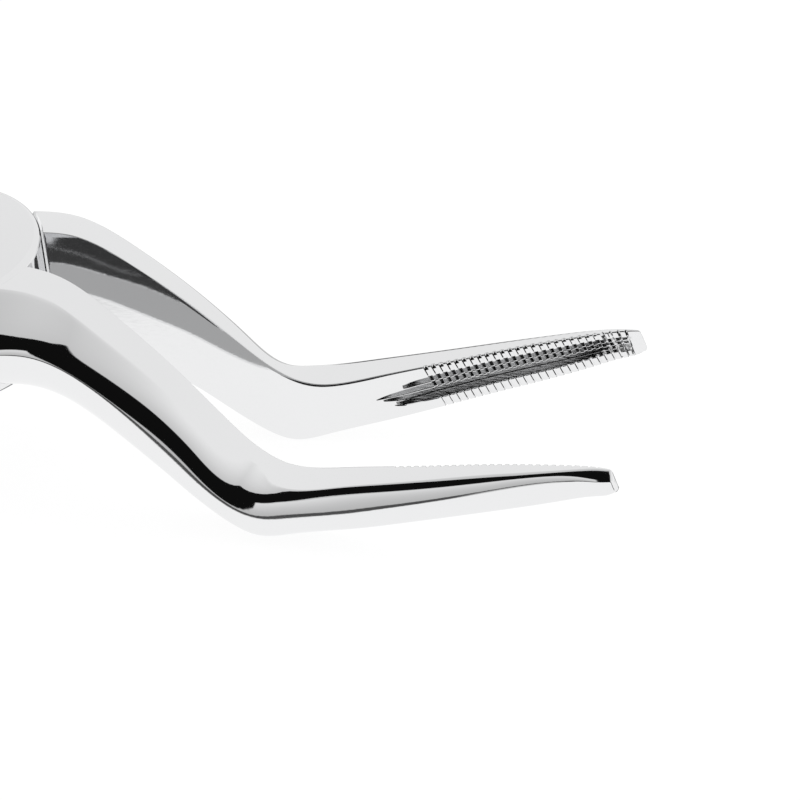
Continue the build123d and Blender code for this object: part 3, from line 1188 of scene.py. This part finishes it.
# ---------------------------------------------------------------------------------------------------------
# Joint
# ---------------------------------------------------------------------------------------------------------
@dataclass(frozen=True)
class JointSizes:
    """Sizes of the lap joint and its screw."""

    half_thickness: float = 4.8
    disc_radius: float = 9.5
    edge_round: float = 0.6
    edge_steps: int = 8
    flat_slack: float = 0.01
    lap_gap: float = 0.03
    lap_spare: float = 0.8
    pocket_radius: float = 9.7
    cut_reach: float = 14.0
    shank_radius: float = 2.6
    bore_clearance: float = 0.03
    head_radius: float = 4.2
    head_thickness: float = 1.9
    head_clearance: float = 0.06
    head_recess: float = 0.04
    head_chamfer: float = 0.18
    slot_width: float = 0.9
    slot_depth: float = 0.8
    slot_turn_deg: float = 25.0
    sides: int = 192

    def disc(self, layer: int) -> bpy.types.Object:
        """Builds a joint disc.

        Args:
            layer: 1 for the disc above the lap, -1 for the one below it.

        Returns:
            The disc, with the cheek's finish on its outer face.
        """
        outer, edge = self.half_thickness, self.edge_round
        middle, rest = self.disc_radius - edge, self.lap_gap * self.lap_spare
        profile = [(0.0, outer), (middle, outer)]
        for turn in np.linspace(0, math.pi / 2, self.edge_steps + 1)[1:]:
            profile.append((middle + edge * math.sin(turn), outer - edge + edge * math.cos(turn)))
        profile += [(self.disc_radius, rest), (0.0, rest)]
        made = turned_object("disc", [(r, layer * z) for r, z in profile], self.sides)
        for face in made.data.polygons:
            if abs(face.center.z) > outer - self.flat_slack:
                face.material_index = Zone.CHEEK.value
        return made

    def cylinder(self, radius: float, low: float, high: float) -> bpy.types.Object:
        """Builds a plain round tool from low to high along the axis."""
        return turned_object("tool", [(0, low), (radius, low), (radius, high), (0, high)], self.sides)

    def cutters(self, side: Side) -> list[bpy.types.Object]:
        """Builds what is cut from a half: room for the other half's disc, and its holes.

        Args:
            side: Which half it is.

        Returns:
            The tools, the pocket first.
        """
        layer, far = -side.value, self.cut_reach
        tools = [self.cylinder(self.pocket_radius, *sorted((-layer * far, layer * self.lap_gap)))]
        if side is Side.LOWER:
            return [*tools, self.cylinder(self.shank_radius, -far, far)]
        seat = self.half_thickness - self.head_recess - self.head_thickness - self.head_clearance
        return [*tools, self.cylinder(self.shank_radius + self.bore_clearance, -far, far),
                self.cylinder(self.head_radius + self.head_clearance, seat, far)]


@dataclass
class Half:
    """One forging: beak, arm, joint disc and handle."""

    side: Side
    node: str
    body: str
    piece: str
    joint: JointSizes
    sharp_angle_deg: float = 32.0
    merge_reach: float = 0.002

    def build(self, bar: bpy.types.Object, handle: bpy.types.Object, materials: Sequence[bpy.types.Material],
              place: JointFrame) -> bpy.types.Object:
        """Joins the pieces of the forging, cuts its joint and stands it in the row frame.

        Args:
            bar: Arm and beak, closed.
            handle: Handle, closed.
            materials: One material for each zone.
            place: The joint's frame.

        Returns:
            The dressed piece.
        """
        parts = [self.copy_of(bar), self.copy_of(handle), self.joint.disc(-self.side.value)]
        tools = self.joint.cutters(self.side)
        for part in (*parts, *tools):
            self.share_slots(part, materials)
        solid = combine(parts[0], "UNION", *parts[1:])
        solid = combine(solid, "DIFFERENCE", *tools)
        solid.name = solid.data.name = self.piece
        close_up(solid.data, self.merge_reach)
        solid.data.transform(place.half_placing(self.side))
        outward(solid.data)
        for name in [a.name for a in solid.data.attributes if a.name.startswith(WORKING_ATTRIBUTES)]:
            solid.data.attributes.remove(solid.data.attributes[name])
        solid.data.shade_smooth()
        solid.data.set_sharp_from_angle(angle=math.radians(self.sharp_angle_deg))
        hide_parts(self.node)
        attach(solid, self.body)
        LOG.info("%s: %d faces", self.piece, len(solid.data.polygons))
        return solid

    @staticmethod
    def copy_of(part: bpy.types.Object) -> bpy.types.Object:
        """Copies an object and its mesh.

        Args:
            part: The object.

        Returns:
            The linked copy.
        """
        twin = part.copy()
        twin.data = part.data.copy()
        bpy.context.scene.collection.objects.link(twin)
        return twin

    @staticmethod
    def share_slots(part: bpy.types.Object, materials: Sequence[bpy.types.Material]) -> None:
        """Gives a part one slot for each zone, keeping the zone of every face.

        Args:
            part: The part, which is changed.
            materials: One material for each zone.
        """
        names = [m.name if m else None for m in part.data.materials]
        order = [m.name for m in materials]
        index = np.zeros(len(part.data.polygons), np.int32)
        part.data.polygons.foreach_get("material_index", index)
        if any(names):
            table = np.array([order.index(n) if n in order else 0 for n in names])
            index = table[np.clip(index, 0, len(table) - 1)]
        part.data.materials.clear()
        for material in materials:
            part.data.materials.append(material)
        part.data.polygons.foreach_set("material_index", index.astype(np.int32))


@dataclass
class JointScrew:
    """The slotted screw that the halves turn on."""

    joint: JointSizes
    shank_slack: float = 0.004
    tail_chamfer: float = 0.25
    slot_overrun: float = 1.0
    sides: int = 128
    sharp_angle_deg: float = 30.0

    def blank(self) -> bpy.types.Object:
        """Turns the screw, with its top a little under the cheek.

        Returns:
            The screw without its slot.
        """
        j = self.joint
        top, shank = j.half_thickness - j.head_recess, j.shank_radius - self.shank_slack
        under = top - j.head_thickness
        profile = [(0, top), (j.head_radius * 0.5, top), (j.head_radius - j.head_chamfer, top),
                   (j.head_radius, top - j.head_chamfer), (j.head_radius, under), (shank, under),
                   (shank, -top + self.tail_chamfer), (j.shank_radius - self.tail_chamfer, -top), (0, -top)]
        return turned_object("joint_screw_dressed", profile, self.sides)

    def slot(self) -> bpy.types.Object:
        """Builds the tool that cuts the slot.

        Returns:
            A bar across the head.
        """
        j = self.joint
        top, reach = j.half_thickness - j.head_recess, j.head_radius + self.slot_overrun
        corners = [(sx * reach, sy * j.slot_width / 2, top + sz * j.slot_depth)
                   for sx in (-1, 1) for sy in (-1, 1) for sz in (-1, 1)]
        made = mesh_object("slot", np.array(corners), [(0, 1, 3, 2), (4, 6, 7, 5), (0, 4, 5, 1), (2, 3, 7, 6),
                                                       (0, 2, 6, 4), (1, 5, 7, 3)])
        made.data.transform(Matrix.Rotation(math.radians(j.slot_turn_deg), 4, "Z"))
        outward(made.data)
        return made

    def build(self, material: bpy.types.Material, place: JointFrame) -> bpy.types.Object:
        """Builds the screw in its rest place.

        Args:
            material: Its finish.
            place: The joint's frame.

        Returns:
            The dressed piece.
        """
        screw = combine(self.blank(), "DIFFERENCE", self.slot())
        screw.data.transform(place.placing)
        outward(screw.data)
        screw.data.shade_smooth()
        screw.data.set_sharp_from_angle(angle=math.radians(self.sharp_angle_deg))
        screw.data.materials.clear()
        screw.data.materials.append(material)
        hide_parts("joint_screw")
        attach(screw, "fixed_half")
        LOG.info("%s: %d faces", screw.name, len(screw.data.polygons))
        return screw


# ---------------------------------------------------------------------------------------------------------
# Studio
# ---------------------------------------------------------------------------------------------------------
@dataclass(frozen=True)
class Band:
    """A band of directions between two angles, in degrees, fading out over the blur outside them."""

    low: float
    high: float
    blur: float


@dataclass(frozen=True)
class Patch:
    """A dark patch of the tent: its band round the horizon, its band of heights, and how dark it is."""

    turns: Band
    rises: Band
    darkness: float


@dataclass(frozen=True)
class Fade:
    """A darkness that changes evenly from one angle to another, and keeps its end values outside them."""

    start: float
    end: float
    at_start: float
    at_end: float


@dataclass(frozen=True)
class Tent:
    """The world: a white tent with a dark opening on the side that the instrument is viewed from.

    Angles round the horizon start from the viewer's side and grow towards +X.
    """

    front: Band = Band(-38.0, 22.0, 3.0)
    opening: Band = Band(-0.5, 31.0, 0.8)
    opening_darkness: float = 0.995
    left: Band = Band(-45.0, -11.5, 1.2)
    below: Band = Band(-30.4, 0.0, 0.5)
    below_left: Fade = Fade(-30.0, -3.0, 0.46, 0.17)
    below_right: float = 0.995
    seam: Band = Band(-31.5, -30.6, 0.5)
    seam_left: Patch = Patch(Band(-45.0, -12.0, 2.0), Band(-33.2, -30.6, 1.2), 1.0)
    seam_darkness: float = 0.92
    panels: tuple[Patch, ...] = (
        Patch(Band(26.0, 44.0, 2.0), Band(-52.0, -18.0, 6.0), 0.94),
        Patch(Band(108.0, 142.0, 3.0), Band(-70.0, -18.0, 6.0), 0.94),
        Patch(Band(144.0, 200.0, 2.0), Band(-33.5, -9.0, 1.5), 0.52),
        Patch(Band(-200.0, -160.0, 4.0), Band(-33.5, -9.0, 1.5), 0.4),
        Patch(Band(-160.0, -78.0, 8.0), Band(-2.0, 19.0, 3.0), 0.93))
    veil_over: Fade = Fade(31.0, 80.0, 0.38, 0.09)
    veil_beside: Fade = Fade(22.0, 75.0, 0.38, 0.09)
    veil_turns: Band = Band(-40.0, 190.0, 20.0)
    veil_rises: Band = Band(-3.0, 100.0, 2.0)
    veil_least: float = 0.09

    def inside(self, build: NodeBuilder, angle: bpy.types.NodeSocket, band: Band) -> bpy.types.NodeSocket:
        """Tells whether a direction lies in a band.

        Args:
            build: The world's nodes.
            angle: The direction's angle.
            band: The band.

        Returns:
            1 inside the band, falling to 0 over its blur.
        """
        ends = []
        for edge, outside in ((band.low, band.low - band.blur), (band.high, band.high + band.blur)):
            step = build.add("ShaderNodeMapRange", interpolation_type="SMOOTHSTEP", in_Value=angle,
                             in_1=outside, in_2=edge, in_3=0.0, in_4=1.0)
            ends.append(step.outputs[0])
        return build.maths("MINIMUM", *ends)

    def fading(self, build: NodeBuilder, angle: bpy.types.NodeSocket, fade: Fade) -> bpy.types.NodeSocket:
        """Gives the darkness of a fade.

        Args:
            build: The world's nodes.
            angle: The direction's angle.
            fade: The fade.

        Returns:
            The darkness in that direction.
        """
        return build.add("ShaderNodeMapRange", in_Value=angle, in_1=fade.start, in_2=fade.end,
                         in_3=fade.at_start, in_4=fade.at_end).outputs[0]

    def patch(self, build: NodeBuilder, turn: bpy.types.NodeSocket, rise: bpy.types.NodeSocket,
              patch: Patch) -> bpy.types.NodeSocket:
        """Gives the darkness of a patch.

        Args:
            build: The world's nodes.
            turn: The direction's angle round the horizon.
            rise: Its height above the horizon.
            patch: The patch.

        Returns:
            The darkness in that direction.
        """
        both = build.maths("MULTIPLY", self.inside(build, turn, patch.turns),
                           self.inside(build, rise, patch.rises))
        return build.maths("MULTIPLY", both, patch.darkness)

    def front_darkness(self, build: NodeBuilder, turn: bpy.types.NodeSocket,
                       rise: bpy.types.NodeSocket) -> bpy.types.NodeSocket:
        """Gives the darkness of the viewer's side: the opening, the wall below it and the seam at its foot.

        Args:
            build: The world's nodes.
            turn: The direction's angle round the horizon.
            rise: Its height above the horizon.

        Returns:
            The darkness in that direction.
        """
        left = self.inside(build, turn, self.left)
        right = build.maths("MULTIPLY", build.maths("SUBTRACT", 1.0, left), self.below_right)
        wall = build.maths("MULTIPLY_ADD", left, self.fading(build, rise, self.below_left), right)
        below = build.maths("MULTIPLY", self.inside(build, rise, self.below), wall)
        seam = build.maths("MAXIMUM", self.inside(build, rise, self.seam),
                           self.patch(build, turn, rise, self.seam_left))
        foot = build.maths("MAXIMUM", build.maths("MULTIPLY", seam, self.seam_darkness), below)
        opening = build.maths("MULTIPLY", self.inside(build, rise, self.opening), self.opening_darkness)
        dark = build.maths("MAXIMUM", opening, foot)
        return build.maths("MULTIPLY", self.inside(build, turn, self.front), dark)

    def veil(self, build: NodeBuilder, turn: bpy.types.NodeSocket,
             rise: bpy.types.NodeSocket) -> bpy.types.NodeSocket:
        """Gives the faint grey that dulls the tent above and beside the opening.

        Args:
            build: The world's nodes.
            turn: The direction's angle round the horizon.
            rise: Its height above the horizon.

        Returns:
            The darkness in that direction.
        """
        grey = build.maths("MINIMUM", self.fading(build, rise, self.veil_over),
                           self.fading(build, turn, self.veil_beside))
        grey = build.maths("MULTIPLY", grey, self.inside(build, turn, self.veil_turns))
        grey = build.maths("MAXIMUM", grey, self.veil_least)
        return build.maths("MULTIPLY", grey, self.inside(build, rise, self.veil_rises))

    def build(self) -> None:
        """Sets the scene's world."""
        world = bpy.data.worlds.new("tent")
        bpy.context.scene.world = world
        world.use_nodes = True
        world.node_tree.nodes.clear()
        build = NodeBuilder(world.node_tree)
        way = build.add("ShaderNodeTexCoord")
        axes = build.add("ShaderNodeSeparateXYZ", in_0=way.outputs["Generated"])
        rise = build.maths("DEGREES", build.maths("ARCSINE", axes.outputs["Z"]))
        forward = build.maths("MULTIPLY", axes.outputs["Y"], -1.0)
        turn = build.maths("DEGREES", build.maths("ARCTAN2", axes.outputs["X"], forward))
        dark = build.maths("MAXIMUM", self.front_darkness(build, turn, rise), self.veil(build, turn, rise))
        for panel in self.panels:
            dark = build.maths("MAXIMUM", dark, self.patch(build, turn, rise, panel))
        path = build.add("ShaderNodeLightPath")
        seen = build.maths("MAXIMUM", build.maths("SUBTRACT", 1.0, dark), path.outputs["Is Camera Ray"])
        glow = build.add("ShaderNodeBackground", in_Color=(1, 1, 1, 1), in_Strength=seen)
        out = build.add("ShaderNodeOutputWorld")
        build.feed(glow.outputs[0], out.inputs["Surface"])


@dataclass(frozen=True)
class Studio:
    """Pale floor, tent, soft light from above, and the camera."""

    aim_from_pivot: tuple[float, float, float] = (38.126, -2.513, -4.152)
    azimuth_deg: float = 9.0
    elevation_deg: float = 35.0
    distance: float = 350.0
    sensor: float = 36.0
    lens: float = 201.6
    clip_m: tuple[float, float] = (0.01, 50.0)
    floor_size_m: float = 6.0
    floor_drop_m: float = 0.0002
    floor_grey: float = 0.16
    floor_glow: float = 0.9
    softbox_place_m: tuple[float, float, float] = (0.05, 0.25, 1.1)
    softbox_size_m: float = 0.9
    softbox_power: float = 1.2

    def camera(self, place: JointFrame) -> bpy.types.Object:
        """Stands the camera in front of the beaks, looking down at them.

        Args:
            place: The joint's frame.

        Returns:
            The camera.
        """
        data = bpy.data.cameras.new("camera")
        data.sensor_width, data.lens = self.sensor, self.lens
        data.clip_start, data.clip_end = self.clip_m
        camera = bpy.data.objects.new("camera", data)
        bpy.context.scene.collection.objects.link(camera)
        turn, rise = math.radians(self.azimuth_deg), math.radians(self.elevation_deg)
        back = Vector((math.sin(turn) * math.cos(rise), -math.cos(turn) * math.cos(rise), math.sin(rise)))
        aim = place.pivot + Vector(self.aim_from_pivot) * MM
        camera.location = aim + back * self.distance * MM
        camera.rotation_mode = "QUATERNION"
        camera.rotation_quaternion = (-back).to_track_quat("-Z", "Y")
        bpy.context.scene.camera = camera
        return camera

    def floor(self) -> bpy.types.Object:
        """Lays the pale floor just under the instrument.

        Returns:
            The floor, which mirrors don't see.
        """
        half, drop = self.floor_size_m / 2, -self.floor_drop_m
        corners = [(-half, -half, drop), (half, -half, drop), (half, half, drop), (-half, half, drop)]
        floor = mesh_object("floor", np.array(corners), [(0, 1, 2, 3)])
        paper = bpy.data.materials.new("white_sweep")
        paper.use_nodes = True
        paper.node_tree.nodes.clear()
        build = NodeBuilder(paper.node_tree)
        matt = build.add("ShaderNodeBsdfDiffuse", in_Color=(*[self.floor_grey] * 3, 1))
        glow = build.add("ShaderNodeEmission", in_Color=(1, 1, 1, 1), in_Strength=self.floor_glow)
        both = build.add("ShaderNodeAddShader", in_0=matt, in_1=glow)
        out = build.add("ShaderNodeOutputMaterial")
        build.feed(both.outputs[0], out.inputs["Surface"])
        floor.data.materials.append(paper)
        floor.visible_glossy = False
        return floor

    def softbox(self) -> bpy.types.Object:
        """Hangs a soft light over the instrument.

        Returns:
            The light, which mirrors don't see.
        """
        light = bpy.data.lights.new("softbox", "AREA")
        light.shape, light.size, light.energy = "DISK", self.softbox_size_m, self.softbox_power
        box = bpy.data.objects.new("softbox", light)
        box.visible_glossy = False
        box.location = self.softbox_place_m
        box.rotation_mode = "QUATERNION"
        box.rotation_quaternion = Vector(box.location).to_track_quat("Z", "Y")
        bpy.context.scene.collection.objects.link(box)
        return box

    def build(self, place: JointFrame) -> None:
        """Sets up the whole studio.

        Args:
            place: The joint's frame.
        """
        bpy.context.scene.view_settings.view_transform = "Standard"
        self.camera(place)
        self.floor()
        Tent().build()
        self.softbox()
        LOG.info("studio: ready")


def main() -> None:
    """Builds the instrument and its studio, piece by piece."""
    logging.basicConfig(level=logging.INFO, format="%(name)s %(message)s")
    place = JointFrame()
    finishes = Finishes()
    made = {name: getattr(finishes, name).material()
            for name in ("polished", "ground", "grip", "cheek", "screw")}
    zones = [made[zone.name.lower()] for zone in Zone]
    Studio().build(place)
    bar = FrontBar().build(made["ground"])
    handle = Handle().build(made["grip"])
    joint = JointSizes()
    for half in (Half(Side.LOWER, "lower_half", "fixed_half", "lower_forging", joint),
                 Half(Side.UPPER, "upper_half", "moving_half", "upper_forging", joint)):
        half.build(bar, handle, zones, place)
    bpy.data.objects.remove(bar)
    bpy.data.objects.remove(handle)
    JointScrew(joint).build(made["screw"], place)


if __name__ == "__main__":
    main()
